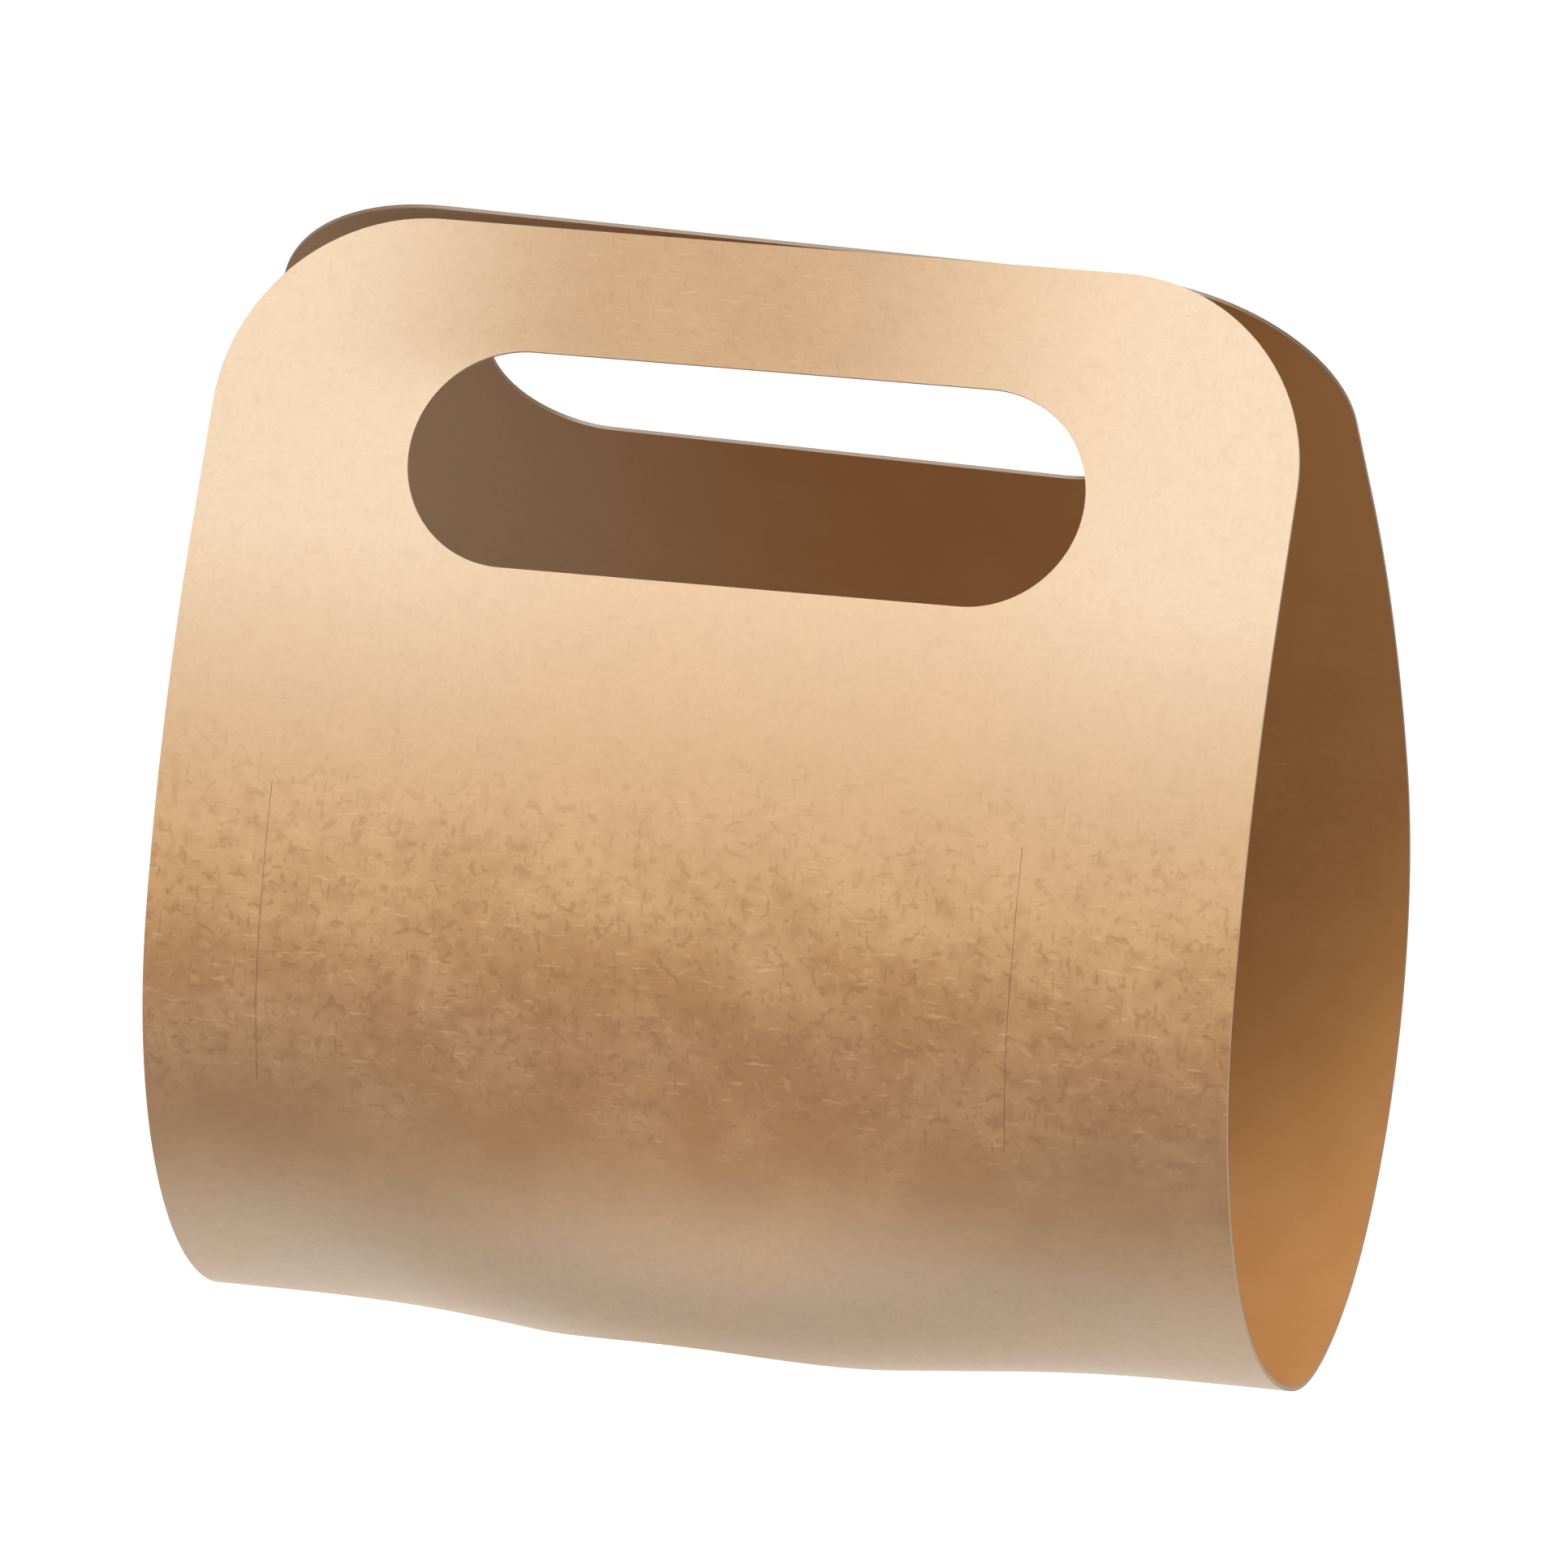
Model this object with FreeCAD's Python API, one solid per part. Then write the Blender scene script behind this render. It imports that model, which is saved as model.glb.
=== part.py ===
import FreeCAD, Part
import math
import os

os.makedirs("parts", exist_ok=True)

Vector = FreeCAD.Vector
Vector2d = FreeCAD.Base.Vector2d

# All lengths in mm. The carrier is one card sheet bent under the cup and brought
# together over it as a handle. X runs along the bend, the front panel is on -Y.

# Flat sheet
SHEET_WIDTH = 130.0
SHEET_LENGTH = 340.0
CARD_THICKNESS = 0.5
CORNER_RADIUS = 24.0

# Hand slots, one near each end of the sheet
SLOT_LENGTH = 81.0
SLOT_HEIGHT = 26.0
HANDLE_BAND = 15.0

# Cup hole in the middle of the sheet
CUP_HOLE_RADIUS = 35.0

# Fine slits cut lengthwise in the front panel
SLIT_WIDTH = 0.15
SLIT_LENGTH = 36.0
SLIT_FROM_END = 68.0
LEFT_SLIT_FROM_EDGE = 13.8
RIGHT_SLIT_FROM_EDGE = 26.3

# Bent section, outer face, from the bottom upward: radius and arc length of each bend.
# The rest of each half is straight and leans in to meet the other one.
BOTTOM_BEND_RADIUS = 34.0
BOTTOM_BEND_ARC = 10.0
SIDE_BEND_RADIUS = 48.5
SIDE_BEND_ARC = 76.0
UPPER_BEND_RADIUS = 145.0
UPPER_BEND_ARC = 45.0

# Lips of card in front of and behind the cup hole stand straighter than the rest: they
# leave the bend at this distance along the sheet, fade out to each side of their centre,
# and fade out again between two distances nearer to the bottom.
LIP_START = 76.0
LIP_CENTRE = 4.2
LIP_HALF_WIDTH = 60.8
LIP_FULL_AT = 55.6
LIP_GONE_AT = 8.6

# The sheet is bent slightly off square: the front panel hangs lower at its left edge
# and the back panel at its right edge, growing to this over the first stretch of each.
PANEL_SKEW = 0.8
SKEW_GROWTH = 28.0

# Spans of the formula surface across and along the sheet
SPANS_ACROSS = 20
SPANS_ALONG = 80
CUBIC = 3

HALF_WIDTH = SHEET_WIDTH / 2
HALF_LENGTH = SHEET_LENGTH / 2
QUARTER_TURN = math.pi / 2


def section(distance):
    """Height, half depth and slope of the bent section at a distance from the bottom."""
    bends = (
        (BOTTOM_BEND_RADIUS, BOTTOM_BEND_ARC),
        (SIDE_BEND_RADIUS, SIDE_BEND_ARC),
        (UPPER_BEND_RADIUS, UPPER_BEND_ARC),
    )
    depth, height, slope, left = 0.0, 0.0, 0.0, distance
    for radius, arc in bends:
        step = min(left, arc)
        turned = slope + step / radius
        depth += radius * (math.sin(turned) - math.sin(slope))
        height += radius * (math.cos(slope) - math.cos(turned))
        slope = turned
        left -= step
    return depth + left * math.cos(slope), height + left * math.sin(slope), slope


def ease(value):
    value = max(0.0, min(1.0, value))
    return value ** 3 * (10 - 15 * value + 6 * value ** 2)


def card_point(across, along):
    """Point of the outer face for a place on the flat sheet, measured from its centre."""
    distance = abs(along)
    depth, height, _ = section(distance)
    if distance < LIP_START:
        lip_depth, lip_height, lip_slope = section(LIP_START)
        run = LIP_START - distance
        off_centre = min(1.0, abs(across - LIP_CENTRE) / LIP_HALF_WIDTH)
        share = (1 - off_centre ** 2) ** 2 * ease((distance - LIP_GONE_AT) / (LIP_FULL_AT - LIP_GONE_AT))
        depth += share * (lip_depth - run * math.cos(lip_slope) - depth)
        height += share * (lip_height - run * math.sin(lip_slope) - height)
    skew = PANEL_SKEW * ease(distance / SKEW_GROWTH) * across / HALF_WIDTH
    side = math.copysign(1, along)
    return Vector(across, side * depth, height - side * skew)


def spans(half_size, count):
    """Knots, their multiplicities and the pole places of an even cubic division."""
    step = 2 * half_size / count
    knots = [-half_size + i * step for i in range(count + 1)]
    padded = [-half_size] * CUBIC + knots + [half_size] * CUBIC
    places = [sum(padded[i + 1:i + 1 + CUBIC]) / CUBIC for i in range(count + CUBIC)]
    ends = CUBIC + 1
    return knots, [ends] + [1] * (count - 1) + [ends], places


def card_surface(points, across, along):
    surface = Part.BSplineSurface()
    surface.buildFromPolesMultsKnots(
        points, across[1], along[1], across[0], along[0], False, False, CUBIC, CUBIC
    )
    return surface


def rounded_outline(centre_x, centre_y, half_x, half_y, radius):
    """Rectangle with round corners in sheet coordinates, as 2D curves in order."""
    def line(start, end):
        return Part.Geom2d.Line2dSegment(Vector2d(*start), Vector2d(*end))

    def corner(side_x, side_y, quarter):
        centre = Vector2d(centre_x + side_x * (half_x - radius), centre_y + side_y * (half_y - radius))
        circle = Part.Geom2d.Circle2d(centre, radius)
        return Part.Geom2d.ArcOfCircle2d(circle, quarter * QUARTER_TURN, (quarter + 1) * QUARTER_TURN)

    left, right = centre_x - half_x, centre_x + half_x
    low, high = centre_y - half_y, centre_y + half_y
    curves = []
    if half_y > radius:
        curves.append(line((right, low + radius), (right, high - radius)))
    curves += [
        corner(1, 1, 0),
        line((right - radius, high), (left + radius, high)),
        corner(-1, 1, 1),
    ]
    if half_y > radius:
        curves.append(line((left, high - radius), (left, low + radius)))
    curves += [
        corner(-1, -1, 2),
        line((left + radius, low), (right - radius, low)),
        corner(1, -1, 3),
    ]
    return curves


def slit_outline(centre_x, centre_y):
    """Lengthwise slit with square ends."""
    half_x, half_y = SLIT_WIDTH / 2, SLIT_LENGTH / 2
    corners = [
        Vector2d(centre_x + side_x * half_x, centre_y + side_y * half_y)
        for side_x, side_y in ((1, -1), (1, 1), (-1, 1), (-1, -1))
    ]
    return [
        Part.Geom2d.Line2dSegment(start, end)
        for start, end in zip(corners, corners[1:] + corners[:1])
    ]


def trimmed(surface, outlines):
    """Face of the surface inside the first outline and outside the others."""
    wires = [Part.Wire([curve.toShape(surface) for curve in outline]) for outline in outlines]
    face = Part.Face(surface, wires[0])
    face.validate()
    face.cutHoles(wires[1:])
    face.validate()
    return face, wires


slot_centre = HALF_LENGTH - HANDLE_BAND - SLOT_HEIGHT / 2
slit_centre = -(HALF_LENGTH - SLIT_FROM_END - SLIT_LENGTH / 2)
cup_hole = [Part.Geom2d.Circle2d(Vector2d(0, 0), CUP_HOLE_RADIUS)]
outlines = [
    rounded_outline(0, 0, HALF_WIDTH, HALF_LENGTH, CORNER_RADIUS),
    rounded_outline(0, slot_centre, SLOT_LENGTH / 2, SLOT_HEIGHT / 2, SLOT_HEIGHT / 2),
    rounded_outline(0, -slot_centre, SLOT_LENGTH / 2, SLOT_HEIGHT / 2, SLOT_HEIGHT / 2),
    cup_hole,
    slit_outline(-HALF_WIDTH + LEFT_SLIT_FROM_EDGE, slit_centre),
    slit_outline(HALF_WIDTH - RIGHT_SLIT_FROM_EDGE, slit_centre),
]

across = spans(HALF_WIDTH, SPANS_ACROSS)
along = spans(HALF_LENGTH, SPANS_ALONG)
outer_poles = [[card_point(x, s) for s in along[2]] for x in across[2]]
outer_surface = card_surface(outer_poles, across, along)
inner_poles = [
    [pole + outer_surface.normal(x, s) * CARD_THICKNESS for pole, s in zip(row, along[2])]
    for row, x in zip(outer_poles, across[2])
]
inner_surface = card_surface(inner_poles, across, along)

# Both faces of the card, closed by the cut edges between them
outer_face, outer_wires = trimmed(outer_surface, outlines)
inner_face, inner_wires = trimmed(inner_surface, outlines)
faces = [outer_face, inner_face]
for outer_wire, inner_wire in zip(outer_wires, inner_wires):
    for outer_edge, inner_edge in zip(outer_wire.Edges, inner_wire.Edges):
        faces.append(Part.makeRuledSurface(outer_edge, inner_edge))

shell = Part.makeShell(faces)
shell.sewShape()
carrier_sheet = Part.makeSolid(shell)
if carrier_sheet.Volume < 0:
    carrier_sheet.reverse()
lowest = outer_surface.value(HALF_WIDTH, 0).z
carrier_sheet.translate(Vector(0, 0, -lowest))
carrier_sheet.exportStep("parts/carrier_sheet.step")
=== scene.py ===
import math

import bmesh
import bpy
from bpy.props import FloatProperty, FloatVectorProperty, PointerProperty
from bpy.types import Operator, Panel, PropertyGroup
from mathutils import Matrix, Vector


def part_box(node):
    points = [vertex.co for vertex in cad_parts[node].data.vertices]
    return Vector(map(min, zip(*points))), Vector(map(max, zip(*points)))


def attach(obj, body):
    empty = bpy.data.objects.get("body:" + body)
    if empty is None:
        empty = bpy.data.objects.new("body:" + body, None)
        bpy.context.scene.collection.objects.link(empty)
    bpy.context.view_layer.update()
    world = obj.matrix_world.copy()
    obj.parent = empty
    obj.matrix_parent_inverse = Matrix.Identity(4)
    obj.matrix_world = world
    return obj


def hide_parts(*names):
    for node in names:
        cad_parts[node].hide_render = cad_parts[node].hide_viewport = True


bl_info = {
    "name": "Card Cup Carrier",
    "version": (1, 0, 0),
    "blender": (4, 5, 0),
    "location": "View3D > Sidebar > Cup Carrier",
    "description": "Cuts a kraft card sheet flat, bends it into a cup carrier and sets its stage",
    "category": "Object",
}

MM = 0.001

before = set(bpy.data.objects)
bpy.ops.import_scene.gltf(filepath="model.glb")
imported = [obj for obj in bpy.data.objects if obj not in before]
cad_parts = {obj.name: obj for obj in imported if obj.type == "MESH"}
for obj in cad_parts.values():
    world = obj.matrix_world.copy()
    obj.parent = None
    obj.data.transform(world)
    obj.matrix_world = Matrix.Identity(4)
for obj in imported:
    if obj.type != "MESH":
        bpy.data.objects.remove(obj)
low_corner, high_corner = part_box("carrier_sheet")

# Cutting the flat sheet: depth of a punch on each side of the card, the steps of its
# quarter rounds, the distance at which points merge, and a step for measuring slopes
PUNCH_REACH = 5 * MM
QUARTER_STEPS = 24
SAME_POINT = 0.001 * MM
WELD_DISTANCE = 0.005 * MM
SLOPE_STEP = 0.2 * MM

# Zones of the face along the sheet, as distances from its middle towards a handle. Each
# pair says where a zone starts to change and where it has changed. The paler underside and
# handle end are painted sheen, the darker belly and grip middle painted shade.
UNDERSIDE_SHEEN_ENDS = (38 * MM, 60 * MM)
BELLY_SHADE_BEGINS = (44 * MM, 64 * MM)
BELLY_SHADE_ENDS = (74 * MM, 103 * MM)
PAINTED_SHEEN_BEGINS = (88 * MM, 140 * MM)
GRIP_BEGINS = (146 * MM, 157 * MM)
FIBRES_BEGIN = (58 * MM, 72 * MM)
FIBRES_END = (81 * MM, 113 * MM)

# Zones across the sheet: the place of their centre, and how they fade out beside it
MIDDLE_CENTRE = 8 * MM
MIDDLE_FADES = (8 * MM, 55 * MM)
GRIP_CENTRE = -8 * MM
GRIP_FADES = (8 * MM, 52 * MM)
DULL_FADES = (-48 * MM, 4 * MM)
EDGE_CHANGES = (-40 * MM, 40 * MM)

# How far the clouds move the zones' limits, and how far the middle's limits lie lower
CLOUD_SHIFT = 3 * MM
MIDDLE_SHIFT = 5.5 * MM

# Strength of each zone and of each kind of mark, from 0 to 1
UNDERSIDE_SHEEN_STRENGTH = 0.95
BELLY_SHADE_STRENGTH = (0.8, 0.98)
PAINTED_SHEEN_STRENGTH = (1.0, 0.65)
GRIP_SHADE_STRENGTH = 0.95
GRIP_FIBRES = 0.3
DULL_STRENGTH = 0.8
INSIDE_TEXTURE = 0.35
FEW_FIBRES = 0.12
CURLED_SHARE = 0.55
CLOUD_STRENGTH = 0.24
BLOTCH_STRENGTH = 0.46
GRAIN_STRENGTH = 0.07
PALE_FIBRE_STRENGTH = 0.38
DARK_FIBRE_STRENGTH = 0.58

# Noise scales, in waves per metre
CLOUD_SCALE = 90.0
BLOTCH_SCALE = 420.0
GRAIN_SCALE = 1500.0

# Noise values from where each kind begins to show to where it shows fully, and the values
# over which the clouds move the zones' limits from one side to the other
CLOUD_SHOWS = (0.35, 0.7)
BLOTCH_SHOWS = (0.42, 0.72)
GRAIN_SHOWS = (0.3, 0.7)
CLOUD_SHIFTS = (0.25, 0.75)

# The noise that breaks the curled fibres: how much finer it is, and where it leaves them
BREAK_FINENESS = 2.2
BREAK_LEAVES = (0.52, 0.62)

# Relief of the fibres
RELIEF_STRENGTH = 0.15
RELIEF_HEIGHT = 0.2 * MM

# The floor, half its side, and where it turns white as seen by the camera
FLOOR_REACH = 6.0
FLOOR_WHITENS = (0.5, 2.5)


def metres(name, description, default):
    """A size in metres that the sidebar shows in the scene's units."""
    return FloatProperty(name=name, description=description, default=default,
                         min=0.0, precision=5, unit="LENGTH")


def degrees(name, description, default):
    """An angle with its default given in degrees."""
    return FloatProperty(name=name, description=description, default=math.radians(default),
                         unit="ROTATION")


def amount(name, description, default, **limits):
    """A number without a size, not under zero."""
    return FloatProperty(name=name, description=description, default=default, min=0.0, **limits)


def colour(name, description, default):
    return FloatVectorProperty(name=name, description=description, default=default,
                               size=3, min=0, max=1, subtype="COLOR")


class SheetSizes(PropertyGroup):
    """Sizes of the card sheet as it is cut flat."""

    width: metres("Width", "Width of the sheet, along the bend", high_corner.x - low_corner.x)
    length: metres("Length", "Length of the flat sheet from end to end", 340 * MM)
    thickness: metres("Thickness", "Thickness of the card", 0.5 * MM)
    corner_radius: metres("Corner radius", "Radius of the sheet's four corners", 24 * MM)
    slot_length: metres("Slot length", "Length of each hand slot", 81 * MM)
    slot_height: metres("Slot height", "Height of each hand slot", 26 * MM)
    handle_band: metres("Handle band", "Card left between a slot and the end of the sheet", 15 * MM)
    hole_radius: metres("Cup hole radius", "Radius of the cup hole in the middle of the sheet", 35 * MM)
    slit_width: metres("Slit width", "Width of the two fine, nearly closed front slits", 0.05 * MM)
    slit_length: metres("Slit length", "Length of the two fine slits", 36 * MM)
    slit_from_end: metres("Slit from end", "From the front end of the sheet to the slits", 68 * MM)
    left_slit_inset: metres("Left slit inset", "From the left edge to the left slit", 13.8 * MM)
    right_slit_inset: metres("Right slit inset", "From the right edge to the right slit", 26.3 * MM)
    grid_step: metres("Grid step", "Size of the squares the flat sheet is divided into", 2.1 * MM)


class BendSizes(PropertyGroup):
    """Radii and arc lengths of the bent section, from the bottom upward."""

    bottom_radius: metres("Bottom radius", "Outer radius of the bottom bend", 34 * MM)
    bottom_arc: metres("Bottom arc", "Arc length of half the bottom bend", 10 * MM)
    side_radius: metres("Side radius", "Outer radius of each belly", 48.5 * MM)
    side_arc: metres("Side arc", "Arc length of each belly", 76 * MM)
    upper_radius: metres("Upper radius", "Radius of the slow bend above each belly", 145 * MM)
    upper_arc: metres("Upper arc", "Arc length of the slow bend", 45 * MM)
    lip_start: metres("Lip start", "Distance along the sheet where the lips leave the bend", 76 * MM)
    lip_centre: metres("Lip centre", "Place of the lips' centre across the sheet", 4.2 * MM)
    lip_half_width: metres("Lip half width", "Half width over which a lip fades out", 60.8 * MM)
    lip_full_at: metres("Lip full at", "Distance where a lip starts to fade downward", 55.6 * MM)
    lip_gone_at: metres("Lip gone at", "Distance along the sheet where a lip has faded out", 8.6 * MM)
    skew: metres("Skew", "Drop of the front panel's left edge and the back's right edge", 0.8 * MM)
    skew_growth: metres("Skew growth", "Distance over which the skew builds up", 28 * MM)


class CardLook(PropertyGroup):
    """Colours of the kraft card, some of them painted sheen and painted shade."""

    face: colour("Card", "Main colour of the card's face", (0.57, 0.345, 0.165))
    # Painted sheen: a paler face towards the handle stands in for lamp light glancing off the card there
    painted_sheen: colour("Handled face", "Paler colour towards the handle", (0.65, 0.495, 0.338))
    # Painted shade: darker brown where the belly faces sideways, away from the lamp above
    belly: colour("Belly", "Darker brown where the card bends round the cup", (0.405, 0.195, 0.068))
    # Painted sheen: paler, greyer colour towards the cup hole, standing in for light reflected up from
    # the floor
    underside_sheen: colour("Underside", "Paler colour towards the cup hole", (0.67, 0.485, 0.325))
    # Painted shade: darker colour in the middle of the hand grip, where the sheen beside it is missing
    painted_grip_shade: colour("Worn grip", "Darker colour in the middle of the hand grip", (0.39, 0.235, 0.11))
    # Painted shade: the inner face is a darker, more saturated copy of the face's brown
    inner: colour("Inside", "Main colour of the card's inner face", (0.43, 0.195, 0.052))
    inner_dull: colour("Dull inside", "Greyer left part of the inner face", (0.46, 0.31, 0.19))
    pale_fibre: colour("Pale fibres", "Colour of the pale fibres and clouds", (0.72, 0.44, 0.22))
    dark_fibre: colour("Dark fibres", "Colour of the dark fibres", (0.32, 0.15, 0.05))
    # Painted shade: the cut edges are darkened
    cut_edge: colour("Cut edge", "Colour of the front panel's cut edges", (0.42, 0.26, 0.14))
    # Painted shadow: the back panel's cut edges are much darker still
    back_edge_shadow: colour("Back cut edge", "Darker cut edges of the back panel", (0.15, 0.09, 0.045))
    roughness: amount("Roughness", "Roughness of the card's face", 0.42, max=1.0)
    inner_roughness: amount("Inner roughness", "Roughness of the inner face", 0.8, max=1.0)


class StageLook(PropertyGroup):
    """Floor, light and camera."""

    floor: colour("Floor", "Colour of the floor", (0.6, 0.6, 0.6))
    floor_white: amount("Floor white", "Added brightness of the floor as the background", 0.35)
    floor_drop: metres("Floor drop", "From the carrier, hanging from a hand, to the floor", 180 * MM)
    world: amount("World light", "Strength of the light from all round", 0.02)
    key: amount("Key light", "Power of the large lamp above the carrier", 185.0, unit="POWER")
    key_size: metres("Key size", "Diameter of the lamp's disk", 3.0)
    key_distance: metres("Key distance", "From the lamp to the middle of the carrier", 3.0)
    key_elevation: degrees("Key elevation", "Lamp's height above the horizon", 79)
    key_azimuth: degrees("Key azimuth", "Lamp's turn to the right of the front", 20)
    azimuth: degrees("Azimuth", "Camera's turn to the right of the front", 15.7)
    elevation: degrees("Elevation", "Camera's height above the horizon", 20.9)
    distance: metres("Distance", "From the camera to the middle of the carrier", 1.94)
    lens: amount("Lens", "Focal length in mm on the sensor", 380.0)
    sensor: amount("Sensor", "Width of the camera's sensor in mm", 36.0)


class BendProfile:
    """The bent section as arcs, giving a place and slope for each distance along the card."""

    def __init__(self, bend, half_width):
        self.arcs = (
            (bend.bottom_radius, bend.bottom_arc),
            (bend.side_radius, bend.side_arc),
            (bend.upper_radius, bend.upper_arc),
        )
        self.bend = bend
        self.half_width = half_width

    def section(self, distance):
        """Half depth, height and slope at a distance from the bottom."""
        depth, height, slope, left = 0.0, 0.0, 0.0, distance
        for radius, arc in self.arcs:
            step = min(left, arc)
            turned = slope + step / radius
            depth += radius * (math.sin(turned) - math.sin(slope))
            height += radius * (math.cos(slope) - math.cos(turned))
            slope = turned
            left -= step
        return depth + left * math.cos(slope), height + left * math.sin(slope), slope

    def outer(self, across, along):
        """Point of the outer face for a place on the flat sheet."""
        distance = abs(along)
        depth, height, _ = self.section(distance)
        bend = self.bend
        if distance < bend.lip_start:
            lip_depth, lip_height, lip_slope = self.section(bend.lip_start)
            run = bend.lip_start - distance
            off_centre = min(1.0, abs(across - bend.lip_centre) / bend.lip_half_width)
            share = (1 - off_centre ** 2) ** 2
            share *= ease((distance - bend.lip_gone_at) / (bend.lip_full_at - bend.lip_gone_at))
            depth += share * (lip_depth - run * math.cos(lip_slope) - depth)
            height += share * (lip_height - run * math.sin(lip_slope) - height)
        skew = bend.skew * ease(distance / bend.skew_growth) * across / self.half_width
        side = math.copysign(1, along)
        return Vector((across, side * depth, height - side * skew))

    def bent(self, across, along, inward):
        """Point inside the card at a depth measured inward from the outer face."""
        point = self.outer(across, along)
        over = self.outer(across + SLOPE_STEP, along) - self.outer(across - SLOPE_STEP, along)
        up = self.outer(across, along + SLOPE_STEP) - self.outer(across, along - SLOPE_STEP)
        return point + over.cross(up).normalized() * inward


def ease(value):
    """Rises smoothly from 0 to 1 as the value does, level at both ends."""
    value = max(0.0, min(1.0, value))
    return value ** 3 * (10 - 15 * value + 6 * value ** 2)


def add_object(name, data):
    made = bpy.data.objects.new(name, data)
    bpy.context.scene.collection.objects.link(made)
    return made


def place_facing(piece, middle, azimuth, elevation, distance):
    """Stands a lamp or camera off the middle in a direction from the front, facing it."""
    away = Vector((math.sin(azimuth) * math.cos(elevation),
                   -math.cos(azimuth) * math.cos(elevation), math.sin(elevation)))
    piece.location = middle + away * distance
    piece.rotation_euler = (-away).to_track_quat("-Z", "Y").to_euler()


def finish_mesh(name, build):
    mesh = bpy.data.meshes.new(name)
    build.to_mesh(mesh)
    build.free()
    return mesh


def raise_faces(build, faces, height):
    """Gives flat faces a body of a height, by extruding them upward."""
    skin = bmesh.ops.extrude_face_region(build, geom=faces)
    raised = [part for part in skin["geom"] if isinstance(part, bmesh.types.BMVert)]
    bmesh.ops.translate(build, vec=(0, 0, height), verts=raised)


def flat_card(sizes):
    """The sheet lying flat as a slab of small squares, its face at height zero."""
    build = bmesh.new()
    columns = round(sizes.width / sizes.grid_step)
    rows = round(sizes.length / sizes.grid_step)
    bmesh.ops.create_grid(build, x_segments=columns, y_segments=rows, size=0.5)
    bmesh.ops.scale(build, vec=(sizes.width, sizes.length, 1), verts=build.verts)
    raise_faces(build, build.faces[:], sizes.thickness)
    bmesh.ops.recalc_face_normals(build, faces=build.faces)
    return finish_mesh("flat_card", build)


def add_punch(build, centre, half_x, half_y, radius):
    """Adds a tall rounded block that cuts its outline through the flat card."""
    outline = []
    for side_x, side_y, quarter in ((1, 1, 0), (-1, 1, 1), (-1, -1, 2), (1, -1, 3)):
        middle = Vector((centre[0] + side_x * (half_x - radius),
                         centre[1] + side_y * (half_y - radius), -PUNCH_REACH))
        for step in range(QUARTER_STEPS + 1 if radius else 1):
            angle = (quarter + step / QUARTER_STEPS) * math.pi / 2
            place = middle + Vector((math.cos(angle), math.sin(angle), 0)) * radius
            if not outline or (outline[-1].co - place).length > SAME_POINT:
                outline.append(build.verts.new(place))
    if (outline[0].co - outline[-1].co).length < SAME_POINT:
        build.verts.remove(outline.pop())
    raise_faces(build, [build.faces.new(outline)], 2 * PUNCH_REACH)


def cut_card(card, operation, name, *punches):
    """Applies one cutting operation of the rounded blocks to the flat card."""
    build = bmesh.new()
    for punch in punches:
        add_punch(build, *punch)
    bmesh.ops.recalc_face_normals(build, faces=build.faces)
    cutter = add_object(name, finish_mesh(name, build))
    cut = card.modifiers.new(name, "BOOLEAN")
    cut.operation = operation
    cut.solver = "EXACT"
    cut.object = cutter
    depsgraph = bpy.context.evaluated_depsgraph_get()
    mesh = bpy.data.meshes.new_from_object(card.evaluated_get(depsgraph))
    card.modifiers.clear()
    card.data = mesh
    bpy.data.objects.remove(cutter)


def cut_openings(card, sizes):
    """Corners, hand slots, cup hole and fine slits, cut while the sheet is flat."""
    half_width, half_length = sizes.width / 2, sizes.length / 2
    cut_card(card, "INTERSECT", "sheet_outline",
             ((0, 0), half_width, half_length, sizes.corner_radius))
    slot_y = half_length - sizes.handle_band - sizes.slot_height / 2
    slit_y = -(half_length - sizes.slit_from_end - sizes.slit_length / 2)
    slot = (sizes.slot_length / 2, sizes.slot_height / 2, sizes.slot_height / 2)
    slit = (sizes.slit_width / 2, sizes.slit_length / 2, 0.0)
    hole = (sizes.hole_radius,) * 3
    cut_card(card, "DIFFERENCE", "openings",
             ((0, slot_y), *slot),
             ((0, -slot_y), *slot),
             ((0, 0), *hole),
             ((-half_width + sizes.left_slit_inset, slit_y), *slit),
             ((half_width - sizes.right_slit_inset, slit_y), *slit))


def bend_card(card, profile):
    """Marks the card's faces, keeps its flat layout as a UV map, then bends every point."""
    build = bmesh.new()
    build.from_mesh(card.data)
    bmesh.ops.remove_doubles(build, verts=build.verts, dist=WELD_DISTANCE)
    bmesh.ops.triangulate(build, faces=build.faces)
    build.normal_update()
    layout = build.loops.layers.uv.new("flat_sheet")
    edge_mark = build.faces.layers.float.new("cut_edge")
    inside_mark = build.faces.layers.float.new("inside_face")
    for face in build.faces:
        face[edge_mark] = float(abs(face.normal.z) < 0.5)
        face[inside_mark] = float(face.normal.z > 0.5)
        for corner in face.loops:
            corner[layout].uv = corner.vert.co.xy
        face.smooth = True
    for edge in build.edges:
        marks = {face[edge_mark] for face in edge.link_faces}
        edge.smooth = len(marks) == 1
    for vert in build.verts:
        vert.co = profile.bent(*vert.co)
    build.normal_update()
    bmesh.ops.recalc_face_normals(build, faces=build.faces)
    build.to_mesh(card.data)
    build.free()


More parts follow.
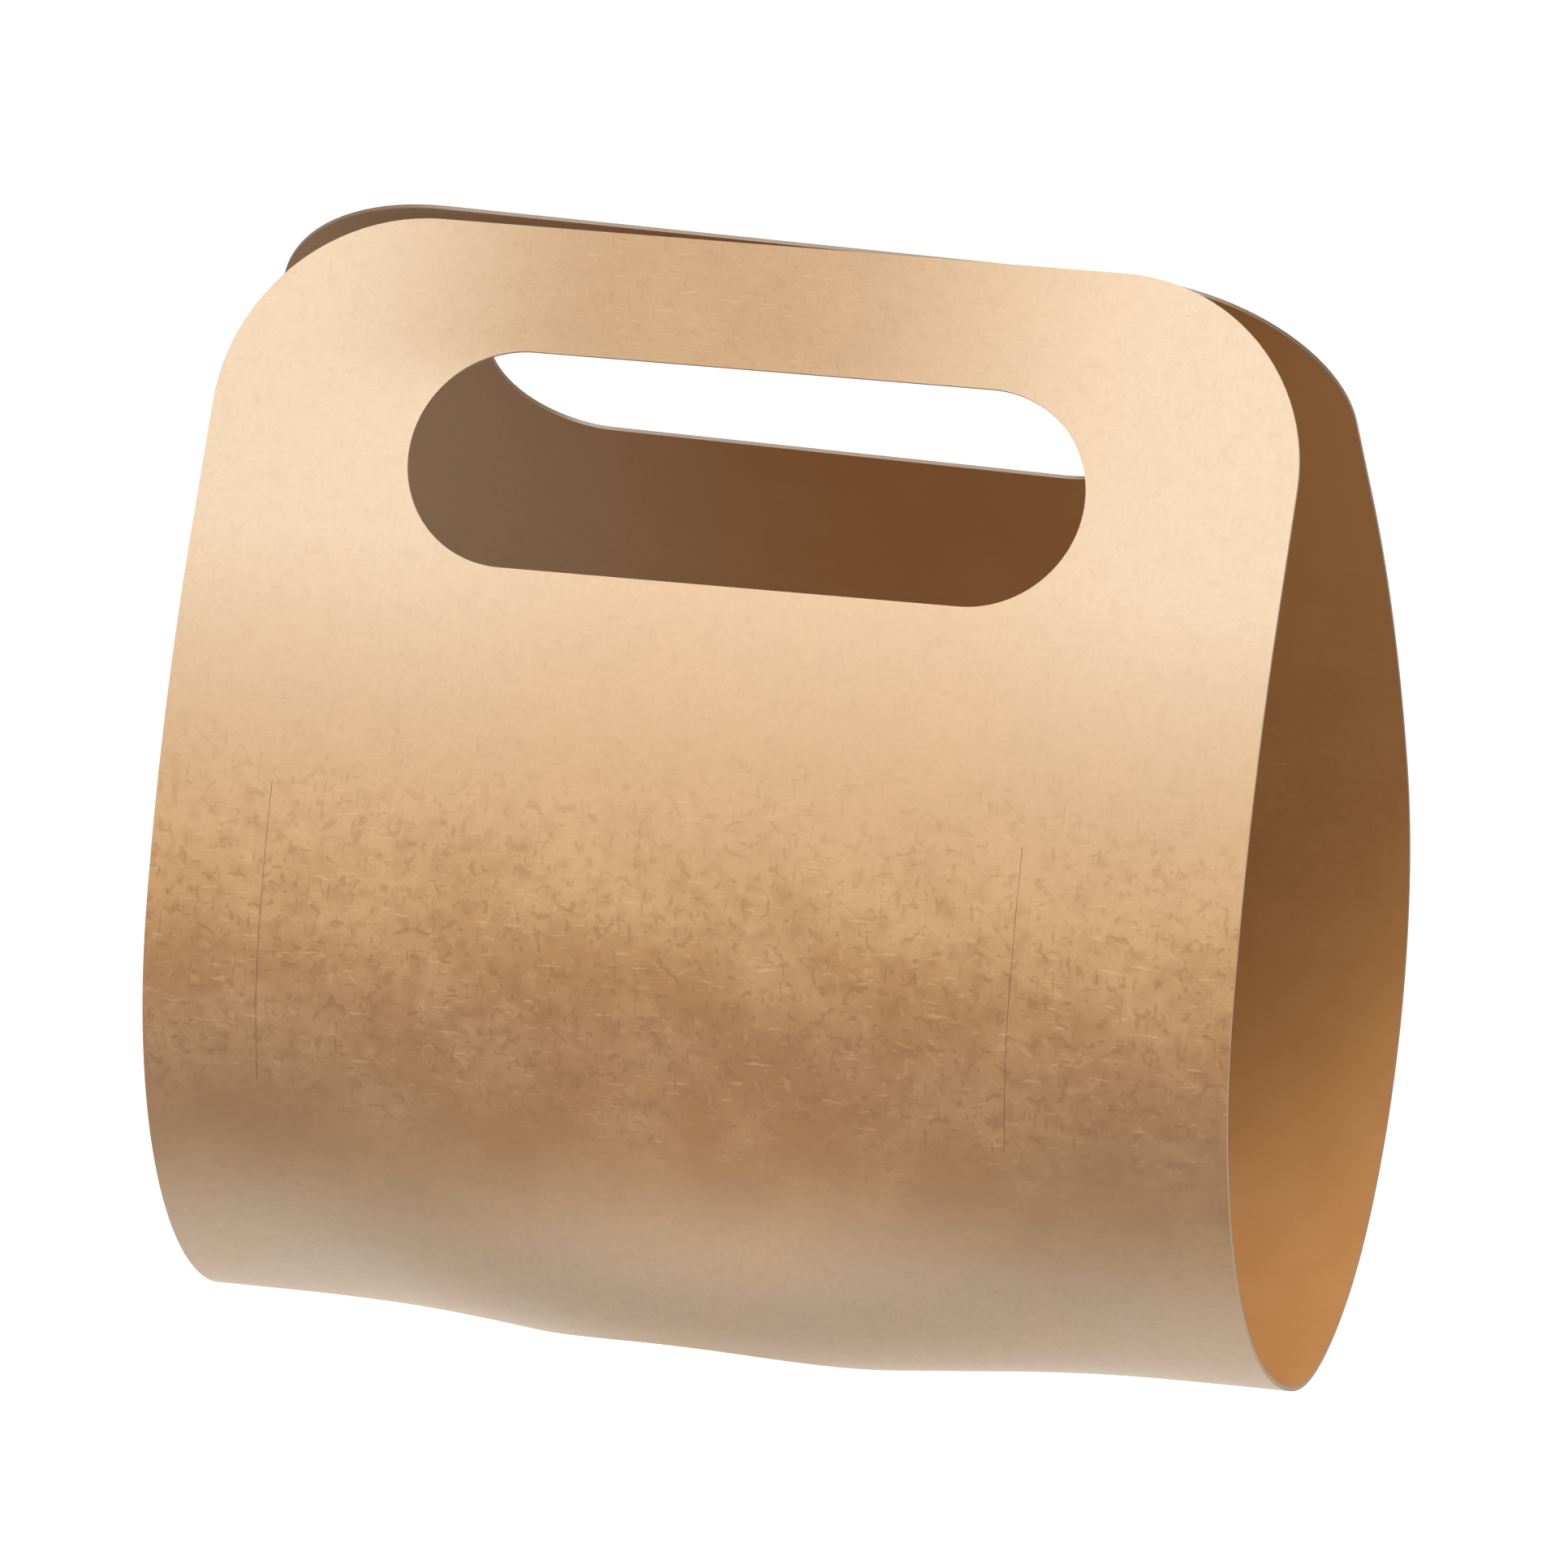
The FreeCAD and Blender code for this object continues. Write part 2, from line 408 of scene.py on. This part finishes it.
class ShaderNodes:
    """Adds nodes to a shader tree. An input is a constant or another node's output."""

    def __init__(self, tree):
        self.tree = tree

    def fill(self, socket, value):
        if isinstance(value, bpy.types.NodeSocket):
            self.tree.links.new(value, socket)
        else:
            socket.default_value = value

    def add(self, kind, inputs=None, **settings):
        """A node with its settings made, and its inputs filled by name or number."""
        node = self.tree.nodes.new("ShaderNode" + kind)
        for name, value in settings.items():
            setattr(node, name, value)
        for socket, value in (inputs or {}).items():
            self.fill(node.inputs[socket], value)
        return node

    def math(self, operation, first, second=0.0):
        return self.add("Math", {0: first, 1: second}, operation=operation).outputs["Value"]

    def product(self, first, second):
        return self.math("MULTIPLY", first, second)

    def larger(self, first, second):
        return self.math("MAXIMUM", first, second)

    def away_from(self, value, centre):
        return self.math("ABSOLUTE", self.math("SUBTRACT", value, centre))

    def sum_of_vectors(self, first, second):
        return self.add("VectorMath", {0: first, 1: second}, operation="ADD").outputs["Vector"]

    def ramp(self, value, span, results=(0.0, 1.0)):
        """Goes smoothly from one result to the other as the value crosses the span."""
        inputs = {"Value": value, "From Min": span[0], "From Max": span[1],
                  "To Min": results[0], "To Max": results[1]}
        return self.add("MapRange", inputs, interpolation_type="SMOOTHSTEP").outputs["Result"]

    def noise(self, place, scale, detail=2.0):
        inputs = {"Vector": place, "Scale": scale, "Detail": detail}
        return self.add("TexNoise", inputs).outputs["Fac"]

    def straight_fibres(self, place, stretch, turn, span):
        """Short straight strokes: the peaks of a noise that is stretched one way."""
        inputs = {"Vector": place, "Rotation": (0, 0, turn), "Scale": (*stretch, 1)}
        stretched = self.add("Mapping", inputs).outputs["Vector"]
        return self.ramp(self.noise(stretched, 1.0), span)

    def curled_fibres(self, place, shift, scale, width):
        """Short curved strokes: broken pieces of a noise's contour lines."""
        moved = self.sum_of_vectors(place, (shift, shift, 0))
        contour = self.away_from(self.noise(moved, scale, 1.0), 0.5)
        pieces = self.ramp(self.noise(moved, scale * BREAK_FINENESS, 1.0), BREAK_LEAVES)
        return self.product(self.ramp(contour, (0.0, width), (1.0, 0.0)), pieces)

    def mixed(self, share, first, second):
        """The first colour, turning into the second as the share goes from 0 to 1."""
        node = self.add("Mix", {0: share}, data_type="RGBA")
        colours = [socket for socket in node.inputs if socket.type == "RGBA"]
        self.fill(colours[0], first)
        self.fill(colours[1], second)
        return next(socket for socket in node.outputs if socket.type == "RGBA")


def face_colour(nodes, look, across, distance, wavy):
    """The face's brown, paler towards the handle and the cup hole as painted sheen and darker at the
    belly and the grip's middle as painted shade, by zones along and across the sheet.
    """
    middle = nodes.ramp(nodes.away_from(across, MIDDLE_CENTRE), MIDDLE_FADES, (1.0, 0.0))
    shift = nodes.ramp(middle, (0.0, 1.0), (0.0, MIDDLE_SHIFT))
    # Painted shade: darker brown over the belly, strongest in the middle across
    belly = nodes.product(nodes.ramp(nodes.math("ADD", distance, shift), BELLY_SHADE_BEGINS),
                          nodes.ramp(wavy, BELLY_SHADE_ENDS, (1.0, 0.0)))
    belly = nodes.product(belly, nodes.ramp(middle, (0.0, 1.0), BELLY_SHADE_STRENGTH))
    # Painted sheen: the face turns paler towards the handle, a little less in the middle across
    painted_sheen = nodes.product(nodes.ramp(distance, PAINTED_SHEEN_BEGINS),
                            nodes.ramp(middle, (0.0, 1.0), PAINTED_SHEEN_STRENGTH))
    # Painted sheen: paler and greyer towards the cup hole, reaching higher in the middle across
    underside_sheen = nodes.ramp(nodes.math("SUBTRACT", distance, shift), UNDERSIDE_SHEEN_ENDS,
                           (UNDERSIDE_SHEEN_STRENGTH, 0.0))
    # Painted shade: darker in the middle of the hand grip
    grip = nodes.product(
        nodes.ramp(distance, GRIP_BEGINS),
        nodes.ramp(nodes.away_from(across, GRIP_CENTRE), GRIP_FADES, (GRIP_SHADE_STRENGTH, 0.0)))
    base = nodes.mixed(painted_sheen, (*look.face, 1), (*look.painted_sheen, 1))
    base = nodes.mixed(belly, base, (*look.belly, 1))
    base = nodes.mixed(underside_sheen, base, (*look.underside_sheen, 1))
    return nodes.mixed(grip, base, (*look.painted_grip_shade, 1)), painted_sheen, grip


def kraft_card(look):
    """Uncoated brown card: soft clouds, short pale and dark fibres, painted sheen and shade in zones, a
    darker inside and cut edges of their own, darkened as painted shade.
    """
    material = bpy.data.materials.new("kraft_card")
    material.use_nodes = True
    material.node_tree.nodes.clear()
    nodes = ShaderNodes(material.node_tree)
    flat = nodes.add("UVMap", uv_map="flat_sheet").outputs["UV"]
    inside = nodes.add("Attribute", attribute_name="inside_face").outputs["Fac"]
    edge = nodes.add("Attribute", attribute_name="cut_edge").outputs["Fac"]
    layer = nodes.add("CombineXYZ", {"Z": inside}).outputs["Vector"]
    place = nodes.sum_of_vectors(flat, layer)
    across, along = nodes.add("SeparateXYZ", {"Vector": flat}).outputs[:2]
    distance = nodes.math("ABSOLUTE", along)
    clouds = nodes.noise(place, CLOUD_SCALE, 3.0)
    blotches = nodes.noise(place, BLOTCH_SCALE, 3.0)
    grain = nodes.noise(place, GRAIN_SCALE)
    wavy = nodes.math("ADD", distance,
                      nodes.ramp(clouds, CLOUD_SHIFTS, (-CLOUD_SHIFT, CLOUD_SHIFT)))
    face, painted_sheen, grip = face_colour(nodes, look, across, distance, wavy)

    # Where fibres show: most at the belly, some at the grip, few elsewhere and inside
    marked = nodes.product(nodes.ramp(wavy, FIBRES_BEGIN, (FEW_FIBRES, 1.0)),
                           nodes.ramp(wavy, FIBRES_END, (1.0, FEW_FIBRES)))
    marked = nodes.larger(marked, nodes.product(grip, GRIP_FIBRES))
    outside = nodes.ramp(inside, (0.0, 1.0), (1.0, INSIDE_TEXTURE))
    texture = nodes.product(marked, outside)
    pale = nodes.larger(
        nodes.straight_fibres(place, stretch=(270, 1350), turn=0.05, span=(0.63, 0.71)),
        nodes.product(nodes.curled_fibres(place, shift=0.31, scale=250.0, width=0.06), CURLED_SHARE))
    dark = nodes.larger(
        nodes.straight_fibres(place, stretch=(1500, 360), turn=-0.1, span=(0.60, 0.72)),
        nodes.curled_fibres(place, shift=0.83, scale=280.0, width=0.08))
    slanted = nodes.straight_fibres(place, stretch=(450, 1500), turn=0.6, span=(0.64, 0.76))
    dark = nodes.larger(dark, slanted)

    # Colours, laid over each other from the plain card to the marks and the cut edges
    dull = nodes.ramp(across, DULL_FADES, (DULL_STRENGTH, 0.0))
    # Painted shade: the inside takes a darker brown than the face, greyer towards the left
    base = nodes.mixed(inside, face, nodes.mixed(dull, (*look.inner, 1), (*look.inner_dull, 1)))
    cloudy = nodes.product(outside, nodes.math("SUBTRACT", 1.0, painted_sheen))
    cloudy = nodes.product(nodes.ramp(clouds, CLOUD_SHOWS, (0.0, CLOUD_STRENGTH)), cloudy)
    blotchy = nodes.product(nodes.ramp(blotches, BLOTCH_SHOWS, (0.0, BLOTCH_STRENGTH)), texture)
    grainy = nodes.ramp(grain, GRAIN_SHOWS, (0.0, GRAIN_STRENGTH))
    for share, mark in (
        (cloudy, look.pale_fibre),
        (blotchy, look.dark_fibre),
        (grainy, look.dark_fibre),
        (nodes.product(pale, nodes.product(texture, PALE_FIBRE_STRENGTH)), look.pale_fibre),
        (nodes.product(dark, nodes.product(texture, DARK_FIBRE_STRENGTH)), look.dark_fibre),
    ):
        base = nodes.mixed(share, base, (*mark, 1))
    # Painted shade on the cut edges, and a much darker painted shadow on the back panel's
    edge_shade_colour = nodes.mixed(nodes.ramp(along, EDGE_CHANGES), (*look.cut_edge, 1), (*look.back_edge_shadow, 1))
    base = nodes.mixed(edge, base, edge_shade_colour)

    relief = nodes.product(nodes.math("ADD", nodes.math("SUBTRACT", pale, dark), grain), texture)
    bump = nodes.add("Bump", {"Height": relief, "Strength": RELIEF_STRENGTH, "Distance": RELIEF_HEIGHT})
    surface = nodes.add("BsdfPrincipled", {
        "Base Color": base,
        "Roughness": nodes.ramp(inside, (0.0, 1.0), (look.roughness, look.inner_roughness)),
        "Specular IOR Level": 0.5,
        "Normal": bump.outputs["Normal"],
    })
    nodes.add("OutputMaterial", {"Surface": surface.outputs["BSDF"]})
    return material


def backdrop_share(nodes):
    """One for rays that see the background: from the camera, a gloss or a clear body."""
    path = nodes.add("LightPath").outputs
    seen = nodes.larger(path["Is Camera Ray"], path["Is Glossy Ray"])
    return nodes.larger(seen, path["Is Transmission Ray"])


def pale_floor(base, white):
    """A matt pale floor that keeps shadows, whitened as a background and more so far off."""
    material = bpy.data.materials.new("pale_floor")
    material.use_nodes = True
    nodes = ShaderNodes(material.node_tree)
    place = nodes.add("TexCoord").outputs["Object"]
    away = nodes.add("VectorMath", {0: place}, operation="LENGTH").outputs["Value"]
    glow = nodes.product(backdrop_share(nodes), nodes.ramp(away, FLOOR_WHITENS, (white, 1.0)))
    surface = material.node_tree.nodes["Principled BSDF"]
    for name, value in (
        ("Base Color", (*base, 1)),
        ("Roughness", 0.9),
        ("Specular IOR Level", 0.1),
        ("Emission Color", (1, 1, 1, 1)),
        ("Emission Strength", glow),
    ):
        nodes.fill(surface.inputs[name], value)
    return material


def soft_world(strength):
    """A faint even light from all round, seen as white where it is the background."""
    world = bpy.data.worlds.new("soft_light")
    world.use_nodes = True
    world.node_tree.nodes.clear()
    nodes = ShaderNodes(world.node_tree)
    light = nodes.add("Background", {"Color": (1, 1, 1, 1), "Strength": strength})
    white = nodes.add("Background", {"Color": (1, 1, 1, 1), "Strength": 1.0})
    mix = nodes.add("MixShader", {0: backdrop_share(nodes), 1: light.outputs[0], 2: white.outputs[0]})
    nodes.add("OutputWorld", {"Surface": mix.outputs[0]})
    return world


class CARRIER_OT_sheet(Operator):
    """Cut the card flat, bend it into the carrier and give it its kraft finish"""

    bl_idname = "carrier.sheet"
    bl_label = "Card sheet"

    def execute(self, context):
        sizes = context.scene.carrier_sheet
        card = add_object("carrier_card", flat_card(sizes))
        cut_openings(card, sizes)
        bend_card(card, BendProfile(context.scene.carrier_bend, sizes.width / 2))
        card.data.name = "carrier_card"
        card.data.materials.append(kraft_card(context.scene.carrier_look))
        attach(card, "root")
        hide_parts("carrier_sheet")
        return {"FINISHED"}


class CARRIER_OT_stage(Operator):
    """Lay the floor, set the lamp and the world, and place the camera"""

    bl_idname = "carrier.stage"
    bl_label = "Stage"

    def execute(self, context):
        look = context.scene.carrier_stage
        scene = context.scene
        scene.view_settings.view_transform = "Standard"
        scene.world = soft_world(look.world)

        build = bmesh.new()
        bmesh.ops.create_grid(build, x_segments=1, y_segments=1, size=FLOOR_REACH)
        bmesh.ops.translate(build, vec=(0, 0, low_corner.z - look.floor_drop), verts=build.verts)
        floor = add_object("floor", finish_mesh("floor", build))
        floor.data.materials.append(pale_floor(look.floor, look.floor_white))

        middle = (low_corner + high_corner) / 2
        key = bpy.data.lights.new("key_lamp", "AREA")
        key.shape = "DISK"
        key.size = look.key_size
        key.energy = look.key
        lamp = add_object("key_lamp", key)
        place_facing(lamp, middle, look.key_azimuth, look.key_elevation, look.key_distance)

        camera = bpy.data.cameras.new("camera")
        camera.lens = look.lens
        camera.sensor_width = look.sensor
        camera.clip_start, camera.clip_end = 0.05, 50
        view = add_object("camera", camera)
        place_facing(view, middle, look.azimuth, look.elevation, look.distance)
        scene.camera = view
        return {"FINISHED"}


class CARRIER_PT_panel(Panel):
    """Lists the carrier's sizes, colours and building steps"""

    bl_idname = "CARRIER_PT_panel"
    bl_label = "Cup Carrier"
    bl_space_type = "VIEW_3D"
    bl_region_type = "UI"
    bl_category = "Cup Carrier"

    def draw(self, context):
        scene = context.scene
        for group, title in ((scene.carrier_sheet, "Flat sheet"), (scene.carrier_bend, "Bend"),
                             (scene.carrier_look, "Card"), (scene.carrier_stage, "Stage")):
            box = self.layout.box()
            box.label(text=title)
            for name in group.bl_rna.properties.keys():
                if name not in {"rna_type", "name"}:
                    box.prop(group, name)
        self.layout.operator(CARRIER_OT_sheet.bl_idname)
        self.layout.operator(CARRIER_OT_stage.bl_idname)


GROUPS = {
    "carrier_sheet": SheetSizes,
    "carrier_bend": BendSizes,
    "carrier_look": CardLook,
    "carrier_stage": StageLook,
}
CLASSES = (*GROUPS.values(), CARRIER_OT_sheet, CARRIER_OT_stage, CARRIER_PT_panel)


def register():
    for each in CLASSES:
        bpy.utils.register_class(each)
    for name, group in GROUPS.items():
        setattr(bpy.types.Scene, name, PointerProperty(type=group))


def unregister():
    for name in GROUPS:
        delattr(bpy.types.Scene, name)
    for each in reversed(CLASSES):
        bpy.utils.unregister_class(each)


def main():
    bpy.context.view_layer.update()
    register()
    bpy.ops.carrier.sheet()
    bpy.ops.carrier.stage()


if __name__ == "__main__":
    main()
